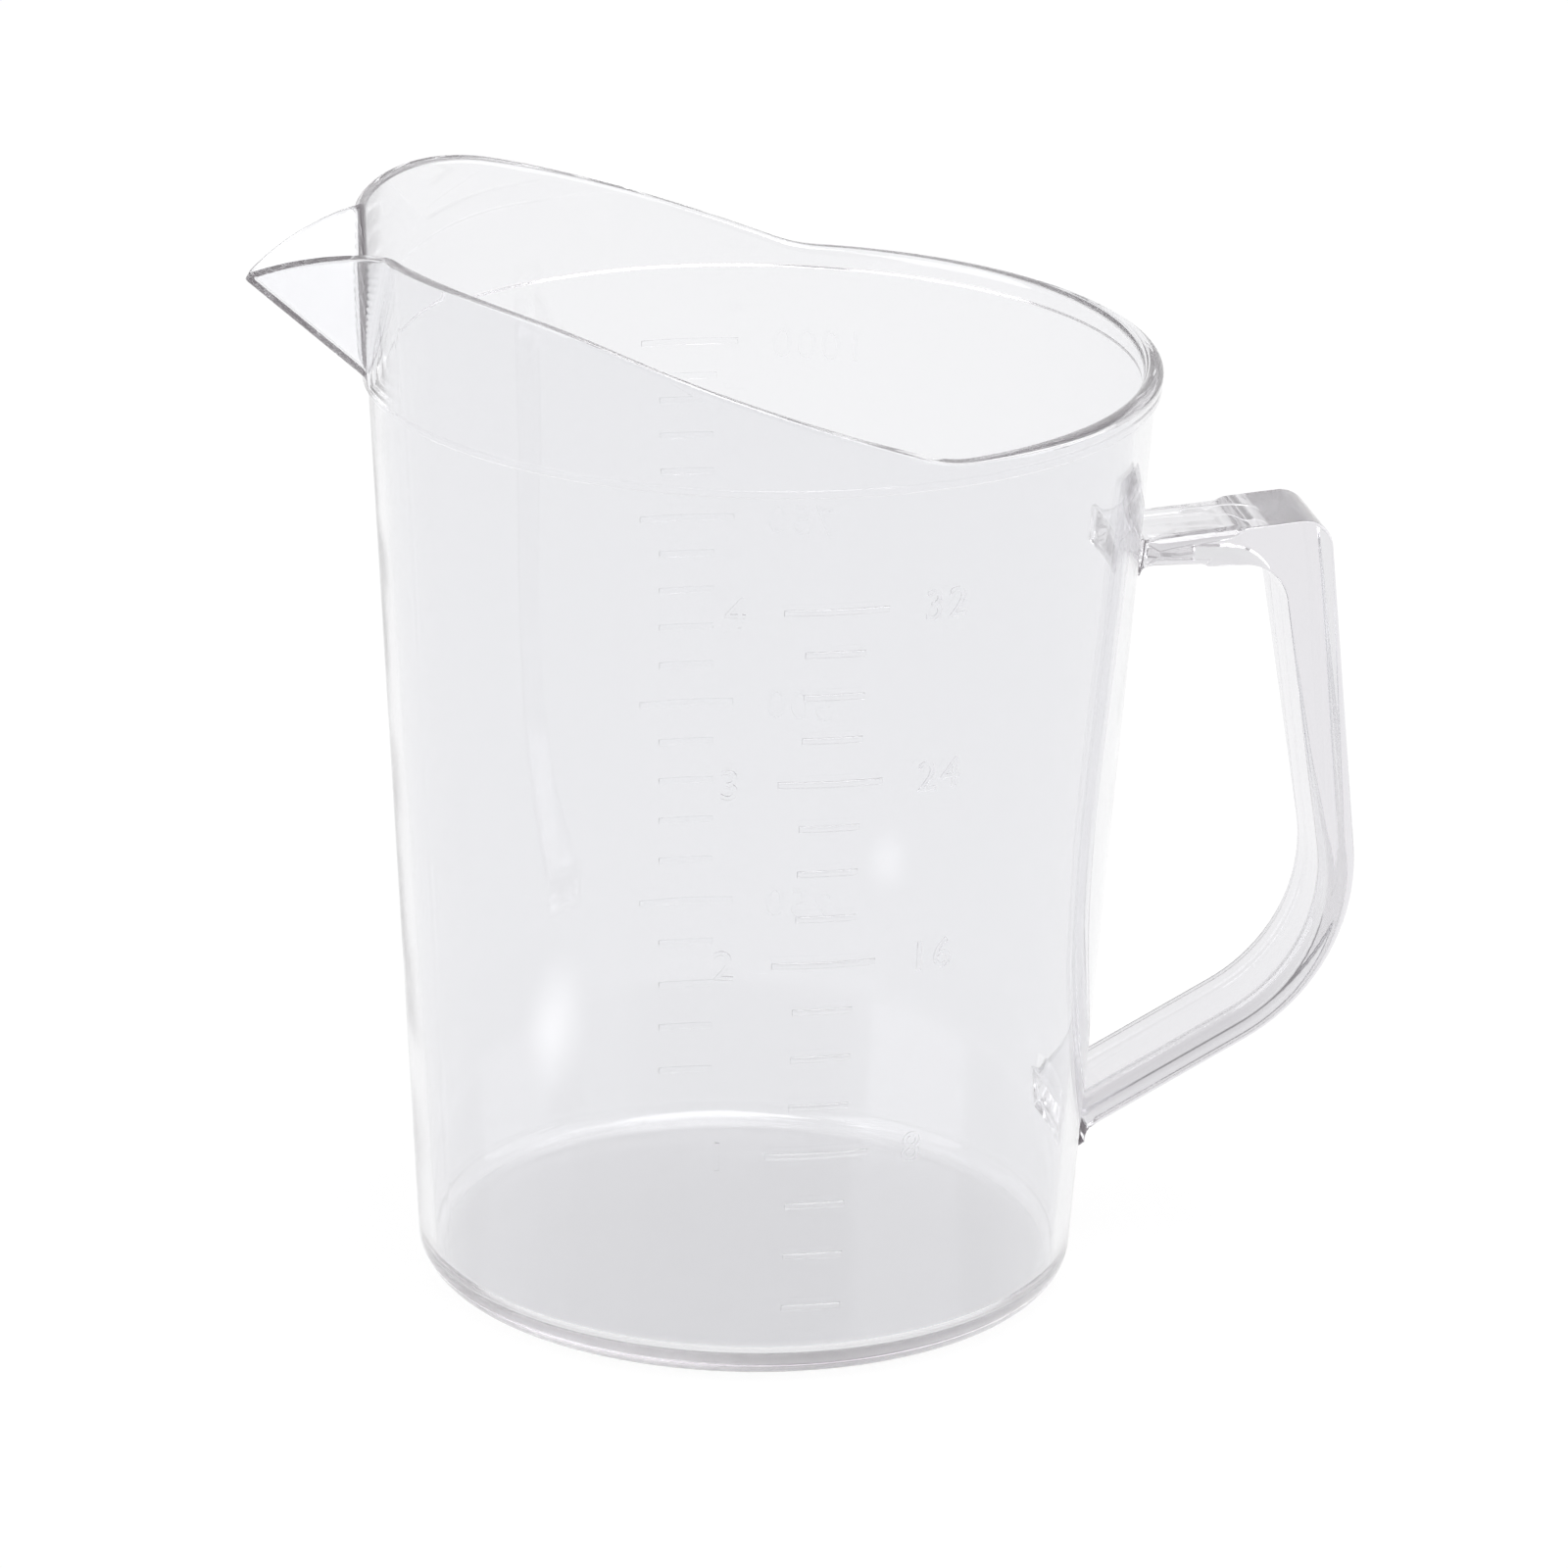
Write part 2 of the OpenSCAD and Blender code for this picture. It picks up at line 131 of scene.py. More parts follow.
class JugBodySettings(bpy.types.PropertyGroup):
    """Sizes of the vessel: its floor, tapered wall, collar, hood and spout."""

    base_radius: size("Base radius", "Outer radius of the tapered wall at the table", 48.8)
    top_radius: size("Top radius", "Outer radius of the tapered wall at the collar's foot", 57.6)
    collar_height: size("Collar height", "Height of the collar's foot", 138.6)
    wall: size("Wall", "Thickness of the wall", 2.2)
    floor: size("Floor", "Thickness of the floor", 3.5)
    base_corner: size("Base corner", "Round between the wall and the underside", 4.6)
    floor_corner: size("Floor corner", "Round between the inner wall and the floor", 2.6)
    collar_step: size("Collar step", "How far the collar stands out from the wall", 0.8)
    step_round: size("Step round", "Round of the two corners of the collar's step", 0.25)
    rim_rise: size("Rim rise", "Height of the level rim above the collar's foot", 3.6)
    rim_round: size("Rim round", "Round of the level rim's two edges", 1.3)
    hood_slope: angle("Hood slope", "Slope of the rim from the level part up to the crest", 19.1)
    hood_wall: size("Hood wall", "Thickness of the hood on the handle's side", 2.9)
    wall_lean: size("Wall lean", "How much thinner the wall is at the collar's foot under the spout", 0.7)
    row_crowd: amount("Row crowding", "Power that crowds rows at the hood's foot", 1.5)
    tip_share: share("Tip share", "Share of the rim's round that is left at the spout's tip", 0.8)
    hood_blend: size("Hood blend", "Reach of the soft bend where the rim starts to rise", 1.2)
    crest_rise: size("Crest rise", "Height of the crest above the level rim", 20.6)
    crest_in: size("Crest in", "Distance of the crest from the keel's foot, towards the handle", 3.2)
    crest_round: size("Crest round", "Radius of the rim as it eases into the crest", 70)
    droop_round: size("Droop round", "Radius of the rim from the crest down to the spout's tip", 37.6)
    keel_rise: size("Keel rise", "Height of the keel's foot above the collar's foot", 2)
    keel_slope: angle("Keel slope", "Slope of the keel under the spout", 41.4)
    keel_blunt: size("Keel blunt", "How far the rounded keel stays back from its line", 1.45)
    keel_groove: size("Keel groove", "How far the groove inside the keel stays back from its line", 0.55)
    spout_half_angle: angle("Spout half angle", "Half of the spout's V, square to the keel", 38)
    spout_wall: size("Spout wall", "Thickness of the spout's sides", 1.5)
    spout_blend: size("Spout blend", "Reach of the round where the spout's sides leave the collar", 0.6)
    spout_ease: size("Spout ease", "Reach of the round inside the collar where the spout starts", 2.6)
    spout_zone: angle("Spout zone", "Half of the arc at the spout with fine columns", 16)
    fine_columns: count("Fine columns", "Columns in the spout's arc", 200)
    columns: count("Columns", "Columns in the rest of the round", 320)
    hood_rows: count("Hood rows", "Rows of faces up the hood", 30)
    wall_rows: count("Wall rows", "Rows of faces up the wall", 7)

    def taper(self):
        """Growth of the radius for each metre of height."""
        return (self.top_radius - self.base_radius) / self.collar_height

    def wall_radius(self, z):
        """Outer radius of the tapered wall at a height."""
        return self.base_radius + self.taper() * z

    def rim_height(self):
        """Height of the level part of the rim."""
        return self.collar_height + self.rim_rise

    def crest_height(self):
        """Height of the rim's highest point."""
        return self.rim_height() + self.crest_rise

    def keel_height(self):
        """Height of the keel's foot."""
        return self.collar_height + self.keel_rise

    def keel_foot(self):
        """Distance of the keel's foot from the axis."""
        return self.wall_radius(self.keel_height()) + self.collar_step

    def brow_height(self):
        """Height at which the round of the level rim's edge starts."""
        return self.rim_height() - self.rim_round / math.hypot(1, self.taper())

    def hood_foot(self):
        """Height at which the hood leaves the rounded step of the collar."""
        return self.collar_height + 2 * self.step_round

    def rim_line(self, x):
        """Height of the rim as seen from the side."""
        crest = self.crest_height()
        away = x - (self.crest_in - self.keel_foot())
        if away < 0:
            return crest - self.droop_round + math.sqrt(max(self.droop_round**2 - away**2, 0))
        if away < self.crest_round * math.sin(self.hood_slope):
            return crest - self.crest_round + math.sqrt(self.crest_round**2 - away**2)
        ease = self.crest_round * math.tan(self.hood_slope / 2)
        rise = crest - (away - ease) * math.tan(self.hood_slope)
        return soft_max(self.rim_height(), rise, self.hood_blend)

    def spout_radius(self, turn, z, inset, keel_blunt):
        """Radius of the spout's V at an angle from the spout's middle, with the V moved in by an amount.

        In plan the V is a hyperbola, so that its keel is rounded. Past the spout's arc there is none.
        """
        if abs(turn) > self.spout_zone:
            return 0
        slope = math.tan(self.spout_half_angle) * math.sin(self.keel_slope)
        run = (z - self.keel_height()) / math.tan(self.keel_slope)
        reach = self.keel_foot() + run + (self.keel_blunt - inset) / math.sin(self.keel_slope)
        blunt = slope * keel_blunt / math.sin(self.keel_slope)
        along = math.cos(turn) * slope
        across = math.sin(turn)
        half = reach * along * slope
        spread = (reach * slope) ** 2 - blunt**2
        return spread / (half + math.sqrt(max(half**2 - (along**2 - across**2) * spread, 0)))

    def outer_radius(self, turn, z):
        """Outer radius of the hood and the spout."""
        hood = self.wall_radius(z) + self.collar_step
        return soft_max(hood, self.spout_radius(turn, z, 0, self.keel_blunt), self.spout_blend)

    def rim_depth(self, turn):
        """Thickness of the hood at its rim, from its full one at the handle to the spout's one."""
        return self.hood_wall + (self.spout_wall - self.hood_wall) * (1 + math.cos(turn)) / 2

    def rim_share(self, turn):
        """Share of the level rim's round that is left where the hood is thinner, and at the tip."""
        at_tip = self.tip_share + (1 - self.tip_share) * smooth_step(0, self.spout_zone / 2, abs(turn))
        return at_tip * self.rim_depth(turn) / self.hood_wall

    def hood_depth(self, turn, z):
        """Thickness of the hood, which thins evenly from the collar's foot up to the crest."""
        full = self.wall + self.collar_step - self.lean_out(turn, z)
        climb = (z - self.hood_foot()) / (self.crest_height() - self.hood_foot())
        return full + (self.rim_depth(turn) - full) * min(max(climb, 0), 1)

    def lean_out(self, turn, z):
        """How far the inner face of the wall leans out towards the spout at a height."""
        climb = min((z - self.floor) / (self.hood_foot() - self.floor), 1)
        return self.wall_lean * climb * (1 + math.cos(turn)) / 2

    def inner_radius(self, turn, z):
        """Inner radius of the hood and the spout."""
        hood = self.wall_radius(z) + self.collar_step - self.hood_depth(turn, z)
        inset = self.spout_wall / math.sin(self.spout_half_angle)
        return soft_max(hood, self.spout_radius(turn, z, inset, self.keel_groove), self.spout_ease)

    def rim_edge(self, turn, radius_at):
        """Height at which a face of the hood meets the rim line."""
        low = self.collar_height
        high = self.crest_height()
        for _ in range(HALVINGS):
            middle = (low + high) / 2
            if self.rim_line(-radius_at(turn, middle) * math.cos(turn)) > middle:
                low = middle
            else:
                high = middle
        return low


class JugHandleSettings(bpy.types.PropertyGroup):
    """Sizes of the strap handle."""

    width: size("Width", "Width of the strap", 16)
    arm_drop: size("Arm drop", "Underside of the upper arm below the collar's foot", 29.7)
    arm_depth: size("Arm depth", "Depth of the upper arm at the wall", 4.4)
    arm_slope: angle("Arm slope", "Rise of the upper arm's top", 5)
    finger_gap: size("Finger gap", "Clear gap between the wall and the grip under the upper arm", 22)
    grip_depth: size("Grip depth", "Depth of the grip at the upper arm", 7.89)
    grip_lean_in: angle("Inner lean", "Lean of the grip's inner face", 9.4)
    grip_lean_out: angle("Outer lean", "Lean of the grip's outer face", 6.8)
    lower_root: size("Lower root", "Height at which the lower arm's underside meets the wall", 19)
    lower_depth: size("Lower depth", "Depth of the lower arm", 5.8)
    lower_slope: angle("Lower slope", "Slope of the lower arm", 28.9)
    upper_bend_in: size("Upper inner bend", "Radius of the inner bend at the top of the grip", 7)
    upper_bend_out: size("Upper outer bend", "Radius of the outer bend at the top of the grip", 4.6)
    lower_bend_in: size("Lower inner bend", "Radius of the inner bend at the foot of the grip", 25)
    lower_bend_out: size("Lower outer bend", "Radius of the outer bend at the foot of the grip", 31)
    arm_edge: size("Arm edge", "Round of the upper arm's edges", 2.1)
    block_edge: size("Block edge", "Round of the crisp edges at the upper bend", 0.5)
    grip_edge: size("Grip edge", "Round of the grip's edges at its foot and along the lower arm", 2.2)
    root_edge: size("Root edge", "Round of the edges where the strap meets the wall", 0.2)
    root_fillet: size("Root fillet", "Round between the strap and the wall", 0.85)
    fillet_share: share("Fillet share", "Share of each arm's length that its root's round takes", 0.06)
    bend_steps: count("Bend steps", "Steps along each bend", 20)
    edge_steps: count("Edge steps", "Steps round each edge", 5)

    def side_lines(self, jug):
        """A point and a direction, in the strap's side plane, of each of its six straight faces."""
        under = jug.collar_height - self.arm_drop
        grip_in = jug.wall_radius(under) + self.finger_gap
        top = under + self.arm_depth
        rise = Vector((math.cos(self.lower_slope), math.sin(self.lower_slope)))
        low = Vector((jug.wall_radius(self.lower_root), self.lower_root))
        return {
            "arm_top": (Vector((jug.wall_radius(top), top)),
                        Vector((math.cos(self.arm_slope), math.sin(self.arm_slope)))),
            "arm_under": (Vector((jug.wall_radius(under), under)), Vector((1, 0))),
            "grip_out": (Vector((grip_in + self.grip_depth, under)),
                         Vector((math.sin(self.grip_lean_out), -math.cos(self.grip_lean_out)))),
            "grip_in": (Vector((grip_in, under)),
                        Vector((math.sin(self.grip_lean_in), -math.cos(self.grip_lean_in)))),
            "lower_low": (low, rise),
            "lower_high": (low + self.lower_depth * Vector((-rise.y, rise.x)), rise),
        }

    def root_planes(self, jug):
        """For each root, a point and an outward normal of the strap's four faces."""
        lines = self.side_lines(jug)
        roots = []
        for high, low in (("arm_top", "arm_under"), ("lower_high", "lower_low")):
            planes = [(Vector((0, side * self.width / 2, 0)), Vector((0, side, 0))) for side in (-1, 1)]
            for name, side in ((high, 1), (low, -1)):
                point, along = lines[name]
                planes.append((Vector((point.x, 0, point.y)), side * Vector((-along.y, 0, along.x))))
            roots.append([(point + normal * self.root_fillet, normal) for point, normal in planes])
        return roots

    def face_run(self, lines, names, radii):
        """Points along one side of the strap: the upper arm, the two bends and the lower arm."""
        arm, grip, lower = (lines[name] for name in names)
        upper_corner = crossing(*arm, *grip)
        lower_corner = crossing(*grip, *lower)
        upper_bend = bend_points(arm[0], upper_corner, lower_corner, radii[0], self.bend_steps)
        lower_bend = bend_points(upper_corner, lower_corner, lower[0], radii[1], self.bend_steps)
        into_wall = arm[0] - arm[1] * self.arm_depth
        out_of_wall = lower[0] - lower[1] * self.lower_depth
        run = [(into_wall, 0)]
        run += [(arm[0].lerp(upper_bend[0], part), part) for part in self.arm_parts()]
        run += [(point, 1) for point in upper_bend]
        run += [(point, 2) for point in lower_bend]
        run += [(lower_bend[-1].lerp(lower[0], part), 2 + part) for part in self.lower_parts()]
        run.append((out_of_wall, 3))
        return run

    def arm_parts(self):
        """Places of the sections along the upper arm, as shares of its length."""
        return (*(part * self.fillet_share for part in ROOT_PARTS), *ARM_PARTS)

    def lower_parts(self):
        """Places of the sections along the lower arm, as shares of its length."""
        return (*LOWER_PARTS, *(1 - part * self.fillet_share for part in reversed(ROOT_PARTS)))

    def flare(self, place):
        """How far the root's round stands out from the strap at a place along it."""
        away = min(min(place, 3 - place) / self.fillet_share, 1)
        return self.root_fillet * (1 - math.sqrt(1 - (1 - away) ** 2))

    def edge_round(self, place):
        """Round of the strap's edges at a place: 0 to 1 on the upper arm, 3 at the lower root."""
        if place < 1:
            edge = self.arm_edge + (self.block_edge - self.arm_edge) * smooth_step(*BLOCK_PARTS, place)
            return self.root_edge + (edge - self.root_edge) * smooth_step(0, ARM_FADE, place)
        if place < 2:
            return self.block_edge
        return self.root_edge + (self.grip_edge - self.root_edge) * smooth_step(3, 3 - LOWER_FADE, place)

    def rings(self, jug):
        """Sections of the strap from the upper root to the lower one, their ends laid on the wall."""
        lines = self.side_lines(jug)
        bends_out = (self.upper_bend_out, self.lower_bend_out)
        bends_in = (self.upper_bend_in, self.lower_bend_in)
        outer = self.face_run(lines, ("arm_top", "grip_out", "lower_low"), bends_out)
        inner = self.face_run(lines, ("arm_under", "grip_in", "lower_high"), bends_in)
        rings = []
        for (outside, place), (inside, _) in zip(outer, inner):
            flare = self.flare(place)
            out = (outside - inside).normalized() * flare
            width = self.width + 2 * flare
            edge = self.edge_round(place)
            rings.append(strap_ring(inside - out, outside + out, width, edge, self.edge_steps))
        rings[0] = [meet_wall(near, far, jug) for near, far in zip(rings[1], rings[0])]
        rings[-1] = [meet_wall(near, far, jug) for near, far in zip(rings[-2], rings[-1])]
        return rings


class JugScaleSettings(bpy.types.PropertyGroup):
    """Sizes and volumes of the raised scales."""

    relief: size("Relief", "How far lines and numbers stand out from the wall", 0.25)
    sunk: size("Sunk", "How far lines and numbers reach into the wall", 0.05)
    line: size("Line", "Thickness of a line", 1.0)
    line_edge: size("Line edge", "Round of a line's edges", 0.3)
    short_line: size("Short line", "Length of a line between the numbers", 8.8)
    long_line: size("Long line", "Length of a line with a number", 15.2)
    number_height: size("Number height", "Height of the figures", 4.6)
    figure_step: size("Figure step", "Distance from one figure to the next", 3.8)
    number_gap: size("Number gap", "Gap between a long line and its number", 5)
    crease: angle("Crease", "Angle between two faces past which their edge is a sharp one", 40)
    cup_volume: amount("Cup", "Volume of a cup in millilitres", 236.588)
    cup_ounces: count("Ounces", "Ounces in a cup", 8)
    cups: count("Cups", "Cups at the top of the front scale", 4)
    cup_lines: count("Lines a cup", "Lines for each cup", 4)
    millilitres: count("Millilitres", "Volume at the top of the back scale", 1000)
    millilitre_step: count("Line step", "Volume between two back lines", 50)
    millilitre_number: count("Number step", "Volume between two back numbers", 250)
    front: angle("Front scale", "Place of the cup scale round the axis", -90)
    back: angle("Back scale", "Place of the millilitre scale round the axis", 90)

    def fill_height(self, jug, millilitres):
        """Height that the contents reach on the inside taper."""
        taper = jug.taper()
        low = jug.wall_radius(jug.floor) - jug.wall
        volume = millilitres * 1e-6
        return jug.floor + ((3 * taper * volume / math.pi + low**3) ** (1 / 3) - low) / taper


class JugPlasticSettings(bpy.types.PropertyGroup):
    """Finish of the clear plastic."""

    # The vessel's and the strap's tints are partly the plastic's own faint grey and partly painted shade.
    # They darken the plastic for the dimmer room seen through it, and the strap's darker copy of the same
    # plastic is painted shade.
    body_tint: colour("Body tint", "Colour that the wall's faces let through", (0.895, 0.898, 0.91))
    handle_tint: colour("Handle tint", "Colour that the strap's faces let through", (0.845, 0.847, 0.862))
    mark_tint: colour("Mark tint", "Colour that the raised marks' faces let through", (0.985, 0.985, 0.987))
    body_clear: share("Body clear", "Light that a centimetre of the vessel's plastic lets through", 0.97)
    handle_clear: share("Handle clear", "Light that a centimetre of the strap's plastic lets through", 0.945)
    depth_tint: colour("Depth tint", "Hue that a centimetre of plastic gives to light", (1.0, 0.992, 1.0))
    haze: colour("Haze", "Colour of the light that leaks out on a long way inside", (0.11, 0.09, 0.105))
    flow_scale: amount("Flow scale", "Waves of the moulding flow in a metre", 45)
    flow_depth: size("Flow depth", "Depth of the moulding flow", 1)
    flow_strength: share("Flow strength", "Share of the moulding flow that shows", 0.05)
    scratch_scale: amount("Scratch scale", "Fine scratches in a metre", 2600)
    scratch_draw: share("Scratch draw", "Share to which the pattern is pressed along a scratch", 0.04)
    scratch_low: share("Scratch start", "Level of the pattern at which a scratch starts", 0.58)
    scratch_high: share("Scratch full", "Level of the pattern at which a scratch is full", 0.75)
    speck_scale: amount("Speck scale", "Cells in a metre, each of which may hold a speck", 26)
    speck_size: share("Speck size", "Radius of a speck as a share of its cell", 0.012)
    speck_tint: colour("Speck tint", "Colour of small specks in the plastic", (0.35, 0.33, 0.34))
    gloss: share("Gloss roughness", "Roughness of the polished faces", 0.02)
    worn: share("Worn roughness", "Roughness where handling has dulled the faces", 0.07)
    scuff: share("Scuff roughness", "Roughness that sliding on tables has added to the base", 0.3)
    scuff_height: size("Scuff height", "Height up to which the base is scuffed", 3)
    frost: share("Frost roughness", "Roughness of the raised marks", 0.06)
    index: amount("Index", "Refractive index of the plastic", 1.585)
    cup_index: amount("Cup index", "Bend of light at the cup lines and numbers", 1.46)
    ounce_index: amount("Ounce index", "Bend of light at the ounce numbers", 1.22)
    back_index: amount("Back index", "Bend of light at the back scale", 1.12)


class JugStageSettings(bpy.types.PropertyGroup):
    """Camera, table and lamps."""

    focal_pixels: amount("Focal length", "Focal length in photo pixels", 9000)
    distance: size("Distance", "Camera distance from its target", 1309.2)
    elevation: angle("Elevation", "Height angle of the camera", 19.778)
    azimuth: angle("Azimuth", "Turn of the camera towards the spout", 11.8)
    roll: angle("Roll", "Tilt of the camera about its view line", 1.3097)
    target_x: size("Target across", "Camera target across the view", 4.528)
    target_z: size("Target height", "Camera target's height", 75.42)
    table_radius: size("Table radius", "Radius of the pale table", 3000)
    table_colour: colour("Table colour", "Colour of the table", (0.9, 0.9, 0.9))
    # A painted window reflection: an oval of the table that glows brighter only for reflected rays and is
    # lit by no lamp.
    pool_x: size("Pool across", "Place of the window's light on the table, across the jug", -137)
    pool_y: size("Pool ahead", "Place of the window's light on the table, ahead of the jug", -55)
    pool_width: size("Pool width", "Half width of the window's light", 26)
    pool_depth: size("Pool depth", "Half depth of the window's light", 32)
    pool_gain: amount("Pool gain", "Added light of the window in reflections", 1.3)
    table_gap: size("Table gap", "Gap under the jug that keeps its underside clear of the table", 0.1)
    table_glow: share("Table glow", "Share of plain white in the table as seen", 0.95)
    room_colour: colour("Room colour", "Colour of the room behind the jug", (1, 1, 1))
    ceiling_low: share("Ceiling start", "Upward share of a direction at which the ceiling starts", 0.2)
    ceiling_high: share("Ceiling full", "Upward share of a direction at which the ceiling is full", 0.75)
    ceiling_colour: colour("Ceiling colour", "Colour of the room overhead", (0.85, 0.84, 0.85))
    front_colour: colour("Front colour", "Colour of the patch on the camera's side", (0.3, 0.29, 0.3))
    front_full: angle("Front patch", "Half angle of the dark patch on the camera's side", 25)
    front_edge: angle("Front edge", "Half angle at which the dark patch has faded into white", 50)
    light_bounces: count("Bounces", "Turns that light may take inside the plastic", 96)


def new_piece(name, bm, materials):
    """A smooth mesh object at the origin made from a bmesh, which is freed."""
    mesh = bpy.data.meshes.new(name)
    bm.to_mesh(mesh)
    bm.free()
    for material in materials:
        mesh.materials.append(material)
    mesh.shade_smooth()
    piece = bpy.data.objects.new(name, mesh)
    bpy.context.scene.collection.objects.link(piece)
    return piece


def hold_flats(piece):
    """Let the large faces keep their own normals beside narrow rounded edges."""
    modifier = piece.modifiers.new("Hold flats", "WEIGHTED_NORMAL")
    modifier.weight = 50
    modifier.keep_sharp = True


def dress(piece, node):
    """Put a piece in the place of its node, on the one body of the jug."""
    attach(piece, "root")
    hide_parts(node)


def reckon(nodes, links, operation, *values):
    """Result of a Math node whose inputs are other nodes' outputs or plain numbers."""
    node = nodes.new("ShaderNodeMath")
    node.operation = operation
    for socket, value in zip(node.inputs, values):
        if isinstance(value, bpy.types.NodeSocket):
            links.new(value, socket)
        else:
            socket.default_value = value
    return node.outputs["Value"]


def ease_between(nodes, links, value, low, high):
    """Share from 0 to 1 as a value goes from one level to another."""
    ease = nodes.new("ShaderNodeMapRange")
    ease.interpolation_type = "SMOOTHSTEP"
    ease.inputs["From Min"].default_value = low
    ease.inputs["From Max"].default_value = high
    links.new(value, ease.inputs["Value"])
    return ease.outputs["Result"]


def plastic_depth(nodes, links):
    """Centimetres of plastic that a ray came through before it met the face from inside."""
    path = nodes.new("ShaderNodeLightPath")
    face = nodes.new("ShaderNodeNewGeometry")
    centimetres = reckon(nodes, links, "MULTIPLY", path.outputs["Ray Length"], 100)
    return reckon(nodes, links, "MULTIPLY", centimetres, face.outputs["Backfacing"])


def fade(nodes, links, depth, left):
    """Share of light left after a depth in centimetres, from the share that one centimetre leaves."""
    return reckon(nodes, links, "POWER", left, depth)


def clear_plastic(name, colour_and_shade, clear, index, gloss, worn):
    """Clear moulded plastic: faint flow, fine scratches, a scuffed base, a few specks and a dusky depth."""
    plastic = bpy.context.scene.jug_plastic
    material = bpy.data.materials.new(name)
    material.use_nodes = True
    nodes = material.node_tree.nodes
    links = material.node_tree.links
    shader = nodes["Principled BSDF"]
    shader.inputs["Transmission Weight"].default_value = 1.0
    shader.inputs["IOR"].default_value = index

    place = nodes.new("ShaderNodeTexCoord").outputs["Object"]

    flow = nodes.new("ShaderNodeTexNoise")
    flow.inputs["Scale"].default_value = plastic.flow_scale
    flow.inputs["Detail"].default_value = 1.0
    links.new(place, flow.inputs["Vector"])
    ripple = nodes.new("ShaderNodeBump")
    ripple.inputs["Strength"].default_value = plastic.flow_strength
    ripple.inputs["Distance"].default_value = plastic.flow_depth
    links.new(flow.outputs["Fac"], ripple.inputs["Height"])
    links.new(ripple.outputs["Normal"], shader.inputs["Normal"])

    stretch = nodes.new("ShaderNodeMapping")
    stretch.inputs["Rotation"].default_value = SCRATCH_TURN
    stretch.inputs["Scale"].default_value = (1, 1, plastic.scratch_draw)
    links.new(place, stretch.inputs["Vector"])
    scratch = nodes.new("ShaderNodeTexNoise")
    scratch.inputs["Scale"].default_value = plastic.scratch_scale
    scratch.inputs["Detail"].default_value = 2.0
    links.new(stretch.outputs["Vector"], scratch.inputs["Vector"])
    wear = nodes.new("ShaderNodeMapRange")
    wear.inputs["From Min"].default_value = plastic.scratch_low
    wear.inputs["From Max"].default_value = plastic.scratch_high
    wear.inputs["To Min"].default_value = gloss
    wear.inputs["To Max"].default_value = worn
    links.new(scratch.outputs["Fac"], wear.inputs["Value"])
    height = nodes.new("ShaderNodeSeparateXYZ")
    links.new(place, height.inputs["Vector"])
    scuff = ease_between(nodes, links, height.outputs["Z"], plastic.scuff_height, 0)
    rough = reckon(nodes, links, "MULTIPLY_ADD", scuff, plastic.scuff, wear.outputs["Result"])
    links.new(rough, shader.inputs["Roughness"])

    cells = nodes.new("ShaderNodeTexVoronoi")
    cells.inputs["Scale"].default_value = plastic.speck_scale
    links.new(place, cells.inputs["Vector"])
    speck = reckon(nodes, links, "LESS_THAN", cells.outputs["Distance"], plastic.speck_size)
    # For the vessel and the strap this colour is partly painted shade; the specks are real.
    mix = nodes.new("ShaderNodeMix")
    mix.data_type = "RGBA"
    mix.inputs["A"].default_value = (*colour_and_shade, 1)
    mix.inputs["B"].default_value = (*plastic.speck_tint, 1)
    links.new(speck, mix.inputs["Factor"])

    depth = plastic_depth(nodes, links)
    hue = nodes.new("ShaderNodeCombineColor")
    for channel, left in zip(("Red", "Green", "Blue"), plastic.depth_tint):
        links.new(fade(nodes, links, depth, left**2), hue.inputs[channel])
    deep = nodes.new("ShaderNodeMix")
    deep.data_type = "RGBA"
    deep.blend_type = "MULTIPLY"
    deep.inputs["Factor"].default_value = 1.0
    links.new(mix.outputs["Result"], deep.inputs["A"])
    links.new(hue.outputs["Color"], deep.inputs["B"])
    links.new(deep.outputs["Result"], shader.inputs["Base Color"])

    lost = nodes.new("ShaderNodeBsdfTransparent")
    lost.inputs["Color"].default_value = (*plastic.haze, 1)
    dusk = nodes.new("ShaderNodeMixShader")
    links.new(fade(nodes, links, depth, clear), dusk.inputs["Fac"])
    links.new(lost.outputs["BSDF"], dusk.inputs[1])
    links.new(shader.outputs["BSDF"], dusk.inputs[2])
    links.new(dusk.outputs["Shader"], nodes["Material Output"].inputs["Surface"])
    return material


def weld_face():
    """Faces where the strap and the wall run into each other, which light passes unbent."""
    material = bpy.data.materials.get("weld_face") or bpy.data.materials.new("weld_face")
    material.use_nodes = True
    nodes = material.node_tree.nodes
    nodes.clear()
    open_face = nodes.new("ShaderNodeBsdfTransparent")
    output = nodes.new("ShaderNodeOutputMaterial")
    material.node_tree.links.new(open_face.outputs["BSDF"], output.inputs["Surface"])
    return material


def welded_plastic(name, colour_and_shade, clear):
    """Finishes of a piece with a weld: its clear faces and its weld."""
    plastic = bpy.context.scene.jug_plastic
    return [clear_plastic(name, colour_and_shade, clear, plastic.index, plastic.gloss, plastic.worn), weld_face()]


def section_run(bm, points):
    """Vertices of a half section, joined in a run of edges."""
    verts = [bm.verts.new((radius, 0, z)) for radius, z in points]
    for pair in zip(verts, verts[1:]):
        bm.edges.new(pair)
    return verts


